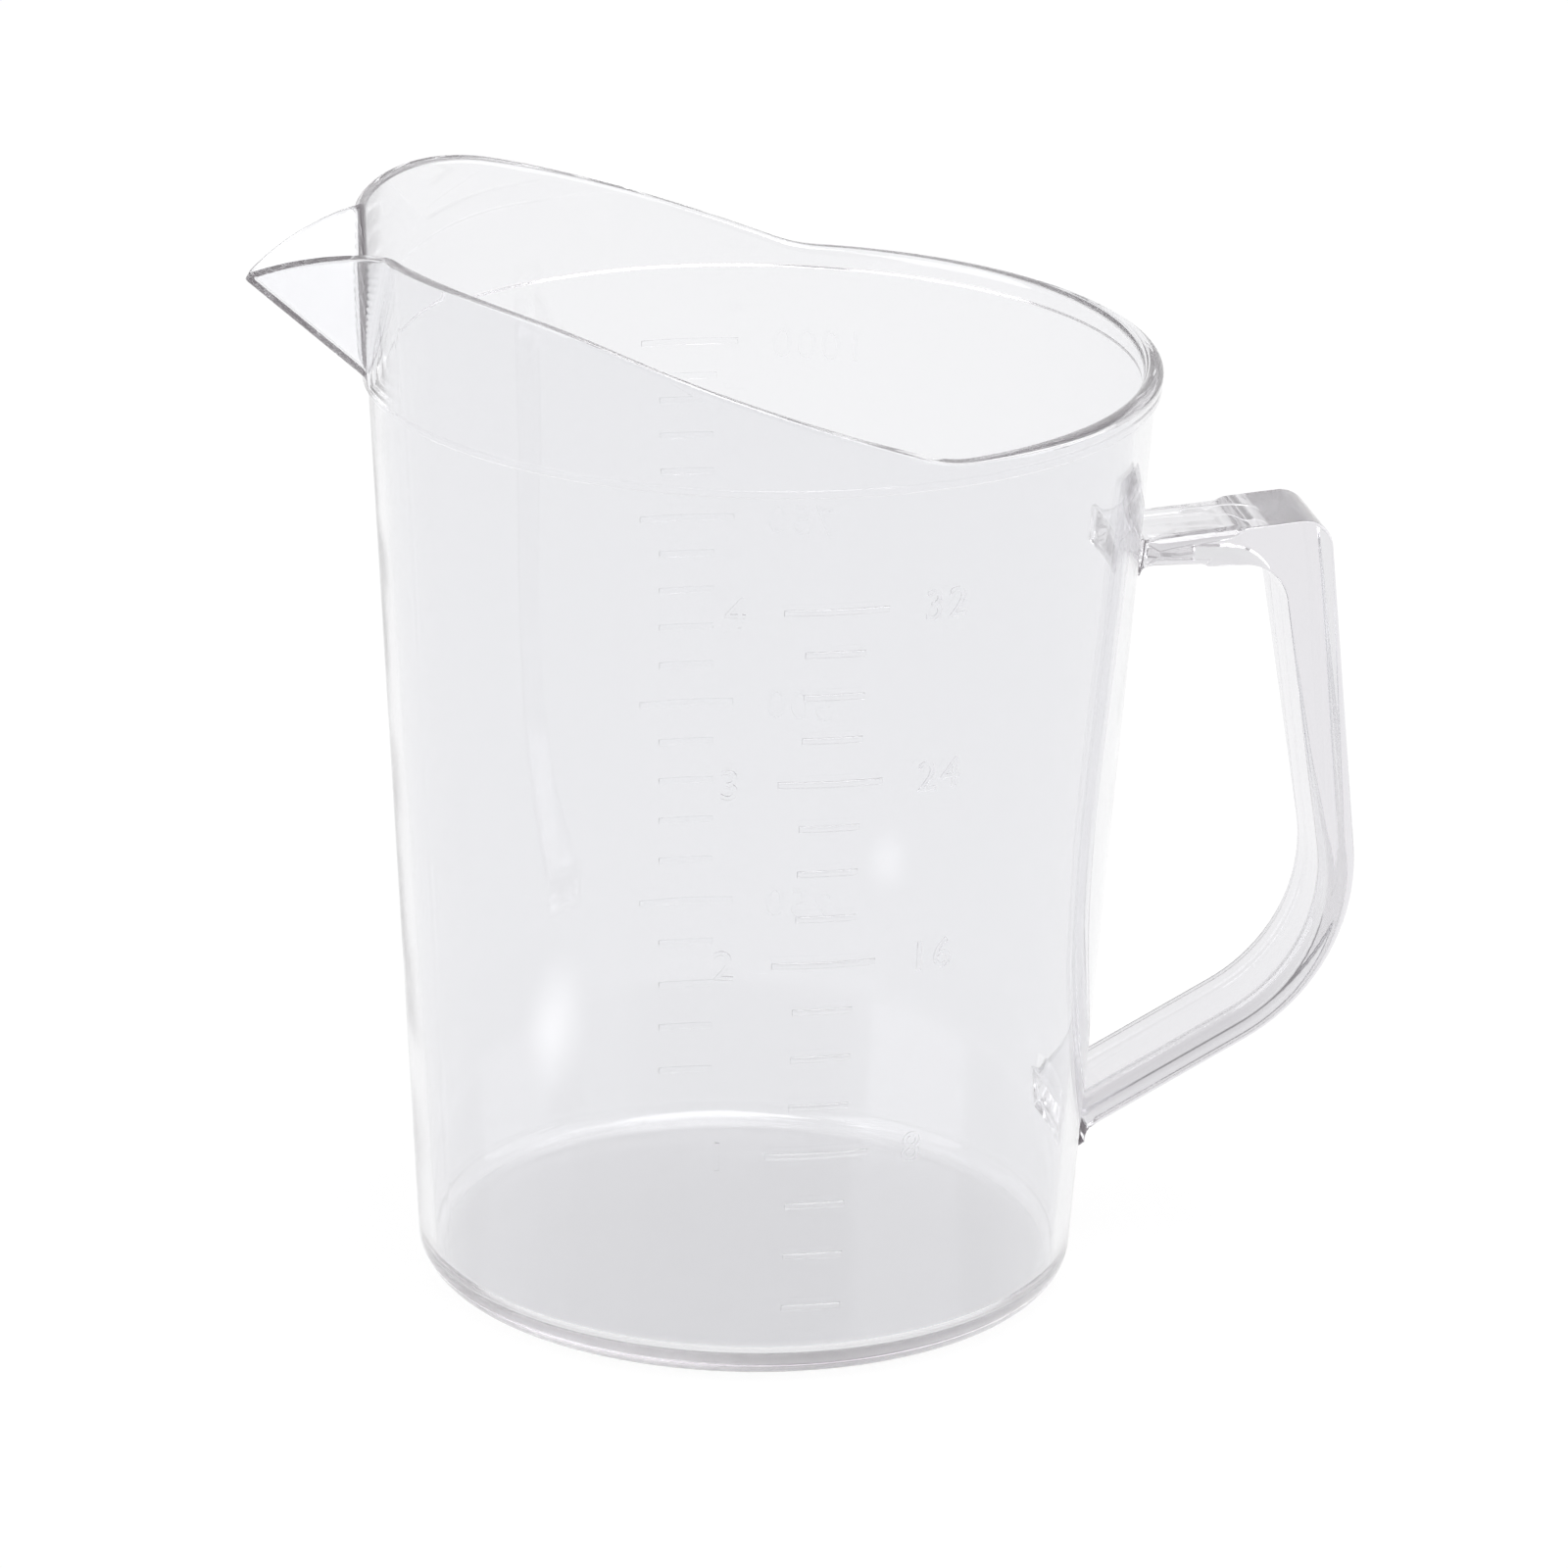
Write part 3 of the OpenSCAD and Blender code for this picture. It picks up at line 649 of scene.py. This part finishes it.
def body_section(bm, jug):
    """Half section of the vessel with a level rim, from the underside's centre to the floor's centre."""
    rim = jug.rim_height()
    foot = jug.hood_foot()
    corners = section_run(bm, [
        (0, 0),
        (jug.base_radius, 0),
        (jug.top_radius, jug.collar_height),
        (jug.top_radius + jug.collar_step, jug.collar_height),
        (jug.wall_radius(rim) + jug.collar_step, rim),
        (jug.wall_radius(rim) - jug.wall, rim),
        (jug.wall_radius(foot) - jug.wall, foot),
        (jug.wall_radius(jug.floor) - jug.wall, jug.floor),
        (0, jug.floor),
    ])
    rounds = {
        1: (jug.base_corner, 24),
        2: (jug.step_round, 3),
        3: (jug.step_round, 3),
        4: (jug.rim_round, 8),
        5: (jug.rim_round, 8),
        7: (jug.floor_corner, 12),
    }
    for corner, (offset, segments) in rounds.items():
        bmesh.ops.bevel(
            bm, geom=[corners[corner]], offset=offset, offset_type="OFFSET", segments=segments,
            profile=0.5, affect="VERTICES", material=-1,
        )
    for edge in bm.edges[:]:
        climb = abs(edge.verts[0].co.z - edge.verts[1].co.z)
        if climb > jug.rim_rise:
            bmesh.ops.subdivide_edges(bm, edges=[edge], cuts=jug.wall_rows)
        elif climb > jug.rim_rise / 3:
            bmesh.ops.subdivide_edges(bm, edges=[edge], cuts=jug.hood_rows)


def spin_body(bm, jug):
    """Turn the half section into the vessel, with fine columns at the spout."""
    axis = (0, 0, 1)
    start = Matrix.Rotation(math.pi - jug.spout_zone, 3, "Z")
    bmesh.ops.rotate(bm, verts=bm.verts[:], cent=(0, 0, 0), matrix=start)
    spout = bmesh.ops.spin(
        bm, geom=bm.verts[:] + bm.edges[:], cent=(0, 0, 0), axis=axis,
        angle=2 * jug.spout_zone, steps=jug.fine_columns,
    )
    bmesh.ops.spin(
        bm, geom=spout["geom_last"], cent=(0, 0, 0), axis=axis,
        angle=2 * (math.pi - jug.spout_zone), steps=jug.columns,
    )
    bmesh.ops.remove_doubles(bm, verts=bm.verts[:], dist=HAIR)


def raise_hood(bm, jug):
    """Lift the level rim to the hood's line, and draw the wall out into the spout."""
    foot = jug.hood_foot()
    brow = jug.brow_height()
    edges = {}
    for vert in bm.verts:
        radius = math.hypot(vert.co.x, vert.co.y)
        turn = math.atan2(vert.co.y, -vert.co.x)
        outside = radius > jug.wall_radius(vert.co.z) - jug.wall / 3
        if vert.co.z < foot + HAIR:
            if vert.co.z > jug.floor + jug.floor_corner and not outside:
                radius += jug.lean_out(turn, vert.co.z)
                vert.co = (-radius * math.cos(turn), radius * math.sin(turn), vert.co.z)
            continue
        radius_at = jug.outer_radius if outside else jug.inner_radius
        column = (round(turn, 5), outside)
        if column not in edges:
            edges[column] = jug.rim_edge(turn, radius_at)
        edge = edges[column]
        if vert.co.z < brow + HAIR:
            climb = ((vert.co.z - foot) / (brow - foot)) ** jug.row_crowd
            z = foot + climb * (edge - (jug.rim_height() - brow) * jug.rim_share(turn) - foot)
            radius = radius_at(turn, z)
        else:
            level = jug.wall_radius(vert.co.z) + (jug.collar_step if outside else -jug.wall)
            z = edge - (jug.rim_height() - vert.co.z) * jug.rim_share(turn)
            radius = radius_at(turn, z) + (radius - level) * jug.rim_share(turn)
        vert.co = (-radius * math.cos(turn), radius * math.sin(turn), z)


def weld_patch(bm, jug, planes, reach):
    """Mark the wall's faces that a root of the strap covers, cut out along the strap's four faces."""
    def within(face, margin):
        place = face.calc_center_median()
        if place.x <= 0 or math.hypot(place.x, place.y) <= jug.wall_radius(place.z) - jug.wall / 2:
            return False
        return all((place - point).dot(normal) < margin for point, normal in planes)

    for point, normal in planes:
        faces = [face for face in bm.faces if within(face, reach)]
        edges = dict.fromkeys(edge for face in faces for edge in face.edges)
        verts = dict.fromkeys(vert for face in faces for vert in face.verts)
        bmesh.ops.bisect_plane(
            bm, geom=[*verts, *edges, *faces], plane_co=point, plane_no=normal, dist=HAIR / 10
        )
    for face in bm.faces:
        if within(face, 0):
            face.material_index = 1


def check_closed(bm, name):
    """Stop if a mesh that has to hold light inside it has an open edge."""
    if any(len(edge.link_faces) != 2 for edge in bm.edges):
        raise RuntimeError(name + " isn't closed")


class JUG_OT_body(bpy.types.Operator):
    """Make the clear vessel with its collar, hood and spout"""

    bl_idname = "jug.body"
    bl_label = "Vessel"

    def execute(self, context):
        jug = context.scene.jug_body
        plastic = context.scene.jug_plastic
        bm = bmesh.new()
        body_section(bm, jug)
        spin_body(bm, jug)
        raise_hood(bm, jug)
        bmesh.ops.recalc_face_normals(bm, faces=bm.faces[:])
        strap = context.scene.jug_handle
        for planes in strap.root_planes(jug):
            weld_patch(bm, jug, planes, strap.width)
        check_closed(bm, "The vessel")
        materials = welded_plastic("vessel_plastic", plastic.body_tint, plastic.body_clear)
        piece = new_piece("clear_vessel", bm, materials)
        hold_flats(piece)
        dress(piece, "jug_body")
        return {"FINISHED"}


def crossing(p, u, q, v):
    """Crossing of two lines in the strap's side plane, each given by a point and a direction."""
    away = q - p
    return p + u * ((away.x * v.y - away.y * v.x) / (u.x * v.y - u.y * v.x))


def bend_points(a, b, c, radius, steps):
    """Points of the round of a corner b between its neighbours a and c."""
    to_a = (a - b).normalized()
    to_c = (c - b).normalized()
    half = to_a.angle(to_c) / 2
    centre = b + (to_a + to_c).normalized() * (radius / math.sin(half))
    arm = b + to_a * (radius / math.tan(half)) - centre
    turn = math.copysign(math.pi - 2 * half, (b - a).cross(c - b))
    return [centre + Matrix.Rotation(turn * i / steps, 2) @ arm for i in range(steps + 1)]


def strap_ring(inner, outer, width, edge, steps):
    """Points round the strap's section, between a point of its inner face and one of its outer face."""
    depth = (outer - inner).length
    out = (outer - inner).normalized()
    edge = min(edge, EDGE_LIMIT * depth)
    points = []
    for deep, side, start in ((1, 1, 0), (-1, 1, 90), (-1, -1, 180), (1, -1, 270)):
        for i in range(steps + 1):
            turn = math.radians(start + 90 * i / steps)
            across = depth / 2 + deep * (depth / 2 - edge) + edge * math.cos(turn)
            along = side * (width / 2 - edge) + edge * math.sin(turn)
            place = inner + out * across
            points.append(Vector((place.x, along, place.y)))
    return points


def meet_wall(outside, inside, jug):
    """Point between two others at which a line passes the outside of the wall."""
    for _ in range(HALVINGS):
        middle = (outside + inside) / 2
        if math.hypot(middle.x, middle.y) > jug.wall_radius(middle.z):
            outside = middle
        else:
            inside = middle
    return outside


class JUG_OT_handle(bpy.types.Operator):
    """Make the solid clear strap from the upper root round to the lower root"""

    bl_idname = "jug.handle"
    bl_label = "Handle"

    def execute(self, context):
        jug = context.scene.jug_body
        strap = context.scene.jug_handle
        plastic = context.scene.jug_plastic
        rings = strap.rings(jug)
        count = len(rings[0])
        bm = bmesh.new()
        first = bmesh.ops.create_circle(bm, cap_ends=True, radius=strap.width, segments=count)["verts"]
        for vert, place in zip(first, rings[0]):
            vert.co = place
        ends = [bm.faces[:][0]]
        row = first
        for ring in rings[1:]:
            met = ((edge, edge.other_vert(vert)) for vert in row for edge in vert.link_edges)
            loop = dict.fromkeys(edge for edge, other in met if other in row)
            made = bmesh.ops.extrude_edge_only(bm, edges=list(loop))["geom"]
            fresh = {item for item in made if isinstance(item, bmesh.types.BMVert)}
            following = []
            for vert, place in zip(row, ring):
                joined = (edge.other_vert(vert) for edge in vert.link_edges)
                twin = next(other for other in joined if other in fresh)
                twin.co = place
                following.append(twin)
            row = following
        ends.append(bmesh.ops.contextual_create(bm, geom=row)["faces"][0])
        for face in ends:
            face.material_index = 1
        bmesh.ops.triangulate(bm, faces=ends, ngon_method="BEAUTY")
        bmesh.ops.recalc_face_normals(bm, faces=bm.faces[:])
        check_closed(bm, "The handle")
        for edge in bm.edges:
            edge.smooth = edge.link_faces[0].material_index == edge.link_faces[1].material_index
        materials = welded_plastic("strap_plastic", plastic.handle_tint, plastic.handle_clear)
        piece = new_piece("clear_strap", bm, materials)
        hold_flats(piece)
        dress(piece, "handle")
        return {"FINISHED"}


def wrap(bm, jug, middle, offset, height):
    """Lay a flat form on the wall: its x along the round, its y up the wall and its z out of it."""
    for vert in bm.verts:
        z = height + vert.co.y
        radius = jug.wall_radius(z)
        turn = middle + (offset + vert.co.x) / jug.wall_radius(height)
        out = radius + vert.co.z
        vert.co = (out * math.cos(turn), out * math.sin(turn), z)


def add_form(whole, part):
    """Add a bmesh to another one, and free it."""
    mesh = bpy.data.meshes.new("part")
    part.to_mesh(mesh)
    part.free()
    whole.from_mesh(mesh)
    bpy.data.meshes.remove(mesh)


def scale_line(jug, scale, middle, height, length):
    """One raised line with soft edges."""
    bm = bmesh.new()
    bmesh.ops.create_cube(bm, size=1)
    along = [edge for edge in bm.edges if abs(edge.verts[0].co.x - edge.verts[1].co.x) > 0.5]
    bmesh.ops.subdivide_edges(bm, edges=along, cuts=9)
    depth = scale.relief + scale.sunk
    bmesh.ops.scale(bm, verts=bm.verts[:], vec=(length, scale.line, depth))
    bmesh.ops.translate(bm, verts=bm.verts[:], vec=(0, 0, depth / 2 - scale.sunk))
    top = scale.relief - HAIR
    upper = [edge for edge in bm.edges if all(vert.co.z > top for vert in edge.verts)]
    ridge = [edge for edge in upper if edge.calc_face_angle() > scale.crease]
    bmesh.ops.bevel(
        bm, geom=ridge, offset=scale.line_edge, offset_type="OFFSET", segments=3,
        profile=0.5, affect="EDGES", material=-1,
    )
    wrap(bm, jug, middle, 0, height)
    return bm


def scale_number(jug, scale, middle, side, height, number):
    """One raised whole number beside the long lines, on one side of them, its figures set one by one."""
    whole = bmesh.new()
    figures = str(number)
    length = len(figures) * scale.figure_step
    offset = side * (scale.long_line / 2 + scale.number_gap + length / 2)
    for i, figure in enumerate(figures):
        curve = bpy.data.curves.new("figure", "FONT")
        curve.body = figure
        curve.size = scale.number_height / FIGURE_SHARE
        curve.align_x = "CENTER"
        curve.resolution_u = 6
        curve.extrude = (scale.relief + scale.sunk) / 2
        text = bpy.data.objects.new("figure", curve)
        mesh = bpy.data.meshes.new_from_object(text)
        bm = bmesh.new()
        bm.from_mesh(mesh)
        bpy.data.objects.remove(text)
        bpy.data.curves.remove(curve)
        bpy.data.meshes.remove(mesh)
        bmesh.ops.remove_doubles(bm, verts=bm.verts[:], dist=HAIR)
        bmesh.ops.recalc_face_normals(bm, faces=bm.faces[:])
        lift = (scale.relief - scale.sunk) / 2
        bmesh.ops.translate(bm, verts=bm.verts[:], vec=(0, -scale.number_height / 2, lift))
        shift = (i - (len(figures) - 1) / 2) * scale.figure_step
        wrap(bm, jug, middle, offset + shift, height)
        add_form(whole, bm)
    return whole


def scale_piece(name, forms, node, index):
    """Join the lines or numbers of one scale in a piece."""
    plastic = bpy.context.scene.jug_plastic
    whole = bmesh.new()
    for form in forms:
        add_form(whole, form)
    material = clear_plastic(
        name + "_plastic", plastic.mark_tint, plastic.body_clear, index, plastic.frost, plastic.frost
    )
    piece = new_piece(name, whole, [material])
    piece.data.set_sharp_from_angle(angle=bpy.context.scene.jug_scale.crease)
    dress(piece, node)


class JUG_OT_cup_scale(bpy.types.Operator):
    """Make the cup lines on the front wall, with cups on their left and ounces on their right"""

    bl_idname = "jug.cup_scale"
    bl_label = "Cup and ounce scale"

    def execute(self, context):
        jug = context.scene.jug_body
        scale = context.scene.jug_scale
        heights = {}
        for line in range(1, scale.cups * scale.cup_lines + 1):
            heights[line] = scale.fill_height(jug, line * scale.cup_volume / scale.cup_lines)
        lines = []
        for line, height in heights.items():
            length = scale.short_line if line % scale.cup_lines else scale.long_line
            lines.append(scale_line(jug, scale, scale.front, height, length))
        cups = []
        ounces = []
        for cup in range(1, scale.cups + 1):
            height = heights[cup * scale.cup_lines]
            ounce = cup * scale.cup_ounces
            cups.append(scale_number(jug, scale, scale.front, -1, height, cup))
            ounces.append(scale_number(jug, scale, scale.front, 1, height, ounce))
        plastic = context.scene.jug_plastic
        scale_piece("cup_lines", lines, "cup_marks", plastic.cup_index)
        scale_piece("cup_figures", cups, "cup_numbers", plastic.cup_index)
        scale_piece("ounce_figures", ounces, "ounce_numbers", plastic.ounce_index)
        return {"FINISHED"}


class JUG_OT_millilitre_scale(bpy.types.Operator):
    """Make the millilitre lines on the back wall, with their numbers on the handle's side"""

    bl_idname = "jug.millilitre_scale"
    bl_label = "Millilitre scale"

    def execute(self, context):
        jug = context.scene.jug_body
        scale = context.scene.jug_scale
        lines = []
        numbers = []
        for volume in range(scale.millilitre_step, scale.millilitres + 1, scale.millilitre_step):
            height = scale.fill_height(jug, volume)
            numbered = volume % scale.millilitre_number == 0
            length = scale.long_line if numbered else scale.short_line
            lines.append(scale_line(jug, scale, scale.back, height, length))
            if numbered:
                numbers.append(scale_number(jug, scale, scale.back, -1, height, volume))
        plastic = context.scene.jug_plastic
        scale_piece("millilitre_lines", lines, "millilitre_marks", plastic.back_index)
        scale_piece("millilitre_figures", numbers, "millilitre_numbers", plastic.back_index)
        return {"FINISHED"}


def seen_ray(nodes, links):
    """Value of 1 for rays that show a background: from the camera, a reflection or through plastic."""
    path = nodes.new("ShaderNodeLightPath")
    shown = path.outputs["Is Camera Ray"]
    for kind in ("Is Glossy Ray", "Is Transmission Ray"):
        shown = reckon(nodes, links, "MAXIMUM", shown, path.outputs[kind])
    return shown


def table_white(nodes, links, stage):
    """Strength of the table's white, with a painted window reflection: a soft oval that glows brighter only
    for reflected rays.
    """
    place = nodes.new("ShaderNodeMapping")
    place.vector_type = "TEXTURE"
    place.inputs["Location"].default_value = (stage.pool_x, stage.pool_y, 0)
    place.inputs["Scale"].default_value = (stage.pool_width, stage.pool_depth, 1)
    links.new(nodes.new("ShaderNodeTexCoord").outputs["Object"], place.inputs["Vector"])
    oval = nodes.new("ShaderNodeTexGradient")
    oval.gradient_type = "SPHERICAL"
    links.new(place.outputs["Vector"], oval.inputs["Vector"])
    pool = ease_between(nodes, links, oval.outputs["Fac"], 0, 1)
    # Painted window reflection: the oval glows brighter only for reflected rays.
    glossy = nodes.new("ShaderNodeLightPath").outputs["Is Glossy Ray"]
    painted_glint_mask = reckon(nodes, links, "MULTIPLY", pool, glossy)
    return reckon(nodes, links, "MULTIPLY_ADD", painted_glint_mask, stage.pool_gain, 1)


def table_finish(stage):
    """Pale table that shows as near white, keeps the jug's shadow, and holds a painted window reflection
    that only reflected rays see.
    """
    material = bpy.data.materials.new("pale_table")
    material.use_nodes = True
    nodes = material.node_tree.nodes
    links = material.node_tree.links
    nodes.clear()
    matt = nodes.new("ShaderNodeBsdfDiffuse")
    matt.inputs["Color"].default_value = (*stage.table_colour, 1)
    white = nodes.new("ShaderNodeEmission")
    links.new(table_white(nodes, links, stage), white.inputs["Strength"])
    mix = nodes.new("ShaderNodeMixShader")
    glow = reckon(nodes, links, "MULTIPLY", seen_ray(nodes, links), stage.table_glow)
    links.new(glow, mix.inputs["Fac"])
    links.new(matt.outputs["BSDF"], mix.inputs[1])
    links.new(white.outputs["Emission"], mix.inputs[2])
    output = nodes.new("ShaderNodeOutputMaterial")
    links.new(mix.outputs["Shader"], output.inputs["Surface"])
    return material


def room_light(stage):
    """White behind the jug, and a room that darkens overhead and on the camera's side."""
    world = bpy.data.worlds.new("pale_room")
    bpy.context.scene.world = world
    world.use_nodes = True
    nodes = world.node_tree.nodes
    links = world.node_tree.links
    way = nodes.new("ShaderNodeTexCoord").outputs["Generated"]
    split = nodes.new("ShaderNodeSeparateXYZ")
    links.new(way, split.inputs["Vector"])
    towards = nodes.new("ShaderNodeVectorMath")
    towards.operation = "DOT_PRODUCT"
    towards.inputs[1].default_value = Matrix.Rotation(-stage.azimuth, 3, "Z") @ Vector(
        (0, -math.cos(stage.elevation), math.sin(stage.elevation))
    )
    links.new(way, towards.inputs[0])
    edge = math.cos(stage.front_edge)
    full = math.cos(stage.front_full)
    layers = (
        (split.outputs["Z"], stage.ceiling_low, stage.ceiling_high, stage.ceiling_colour),
        (towards.outputs["Value"], edge, full, stage.front_colour),
    )
    shown = None
    for value, low, high, layer in layers:
        mix = nodes.new("ShaderNodeMix")
        mix.data_type = "RGBA"
        mix.inputs["A"].default_value = (*stage.room_colour, 1)
        mix.inputs["B"].default_value = (*layer, 1)
        links.new(ease_between(nodes, links, value, low, high), mix.inputs["Factor"])
        if shown is not None:
            links.new(shown, mix.inputs["A"])
        shown = mix.outputs["Result"]
    links.new(shown, nodes["Background"].inputs["Color"])


def soft_lamp(name, azimuth, elevation, distance, width, height, power):
    """Rectangular soft lamp that faces the jug's middle, with angles in degrees and lengths in metres."""
    rise = math.radians(elevation)
    turn = math.radians(azimuth)
    out = Vector((math.cos(rise) * math.cos(turn), math.cos(rise) * math.sin(turn), math.sin(rise)))
    light = bpy.data.lights.new(name, "AREA")
    light.shape = "RECTANGLE"
    light.size = width
    light.size_y = height
    light.energy = power
    lamp = bpy.data.objects.new(name, light)
    lamp.location = LAMP_AIM + out * distance
    lamp.rotation_euler = out.to_track_quat("Z", "Y").to_euler()
    bpy.context.scene.collection.objects.link(lamp)


def add_camera(stage):
    """Camera at the photo's place and angle."""
    turn = Matrix.Rotation(-stage.azimuth, 3, "Z")
    forward = Vector((0, math.cos(stage.elevation), -math.sin(stage.elevation)))
    across = Vector((1, 0, 0))
    up = across.cross(forward)
    right = math.cos(stage.roll) * across + math.sin(stage.roll) * up
    above = -math.sin(stage.roll) * across + math.cos(stage.roll) * up
    place = Vector((stage.target_x, 0, stage.target_z)) - forward * stage.distance
    basis = Matrix((turn @ right, turn @ above, turn @ -forward)).transposed()
    data = bpy.data.cameras.new("camera")
    data.sensor_width = SENSOR_WIDTH
    data.lens = stage.focal_pixels / PHOTO_PIXELS * SENSOR_WIDTH
    data.clip_start = 0.05
    data.clip_end = 50
    camera = bpy.data.objects.new("camera", data)
    camera.matrix_world = Matrix.Translation(turn @ place) @ basis.to_4x4()
    bpy.context.scene.collection.objects.link(camera)
    bpy.context.scene.camera = camera


class JUG_OT_stage(bpy.types.Operator):
    """Set the camera, the pale table and the soft lamps"""

    bl_idname = "jug.stage"
    bl_label = "Stage"

    def execute(self, context):
        stage = context.scene.jug_stage
        bm = bmesh.new()
        bmesh.ops.create_circle(bm, cap_ends=True, radius=stage.table_radius, segments=96)
        bmesh.ops.translate(bm, verts=bm.verts[:], vec=(0, 0, -stage.table_gap))
        table = new_piece("table", bm, [table_finish(stage)])
        room_light(stage)
        soft_lamp("left_softbox", azimuth=190, elevation=32, distance=1.2, width=1.0, height=1.4, power=9)
        soft_lamp("right_softbox", azimuth=-5, elevation=28, distance=1.3, width=1.0, height=1.4, power=7)
        soft_lamp("top_softbox", azimuth=-60, elevation=75, distance=1.4, width=1.0, height=1.0, power=16)
        add_camera(stage)
        context.scene.view_settings.view_transform = "Standard"
        for kind in ("max_bounces", "glossy_bounces", "transmission_bounces"):
            setattr(context.scene.cycles, kind, stage.light_bounces)
        return {"FINISHED"}


class JUG_PT_build(bpy.types.Panel):
    """Steps that build the jug, in order"""

    bl_label = "Measuring Jug"
    bl_space_type = "VIEW_3D"
    bl_region_type = "UI"
    bl_category = "Jug"

    def draw(self, context):
        for step in STEPS:
            self.layout.operator(step.bl_idname)
        for group in SETTINGS:
            box = self.layout.box()
            box.label(text=group.replace("_", " ").capitalize())
            settings = getattr(context.scene, group)
            for name in settings.__annotations__:
                box.prop(settings, name)


STEPS = (JUG_OT_body, JUG_OT_handle, JUG_OT_cup_scale, JUG_OT_millilitre_scale, JUG_OT_stage)
SETTINGS = {
    "jug_body": JugBodySettings,
    "jug_handle": JugHandleSettings,
    "jug_scale": JugScaleSettings,
    "jug_plastic": JugPlasticSettings,
    "jug_stage": JugStageSettings,
}


def register():
    """Add the settings, the steps and the panel to Blender."""
    for name, group in SETTINGS.items():
        bpy.utils.register_class(group)
        setattr(bpy.types.Scene, name, PointerProperty(type=group))
    for step in STEPS:
        bpy.utils.register_class(step)
    bpy.utils.register_class(JUG_PT_build)


def unregister():
    """Take the settings, the steps and the panel out of Blender."""
    bpy.utils.unregister_class(JUG_PT_build)
    for step in reversed(STEPS):
        bpy.utils.unregister_class(step)
    for name, group in SETTINGS.items():
        delattr(bpy.types.Scene, name)
        bpy.utils.unregister_class(group)


def main():
    """Build the jug and its stage."""
    register()
    bpy.ops.jug.body()
    bpy.ops.jug.handle()
    bpy.ops.jug.cup_scale()
    bpy.ops.jug.millilitre_scale()
    bpy.ops.jug.stage()


if __name__ == "__main__":
    main()
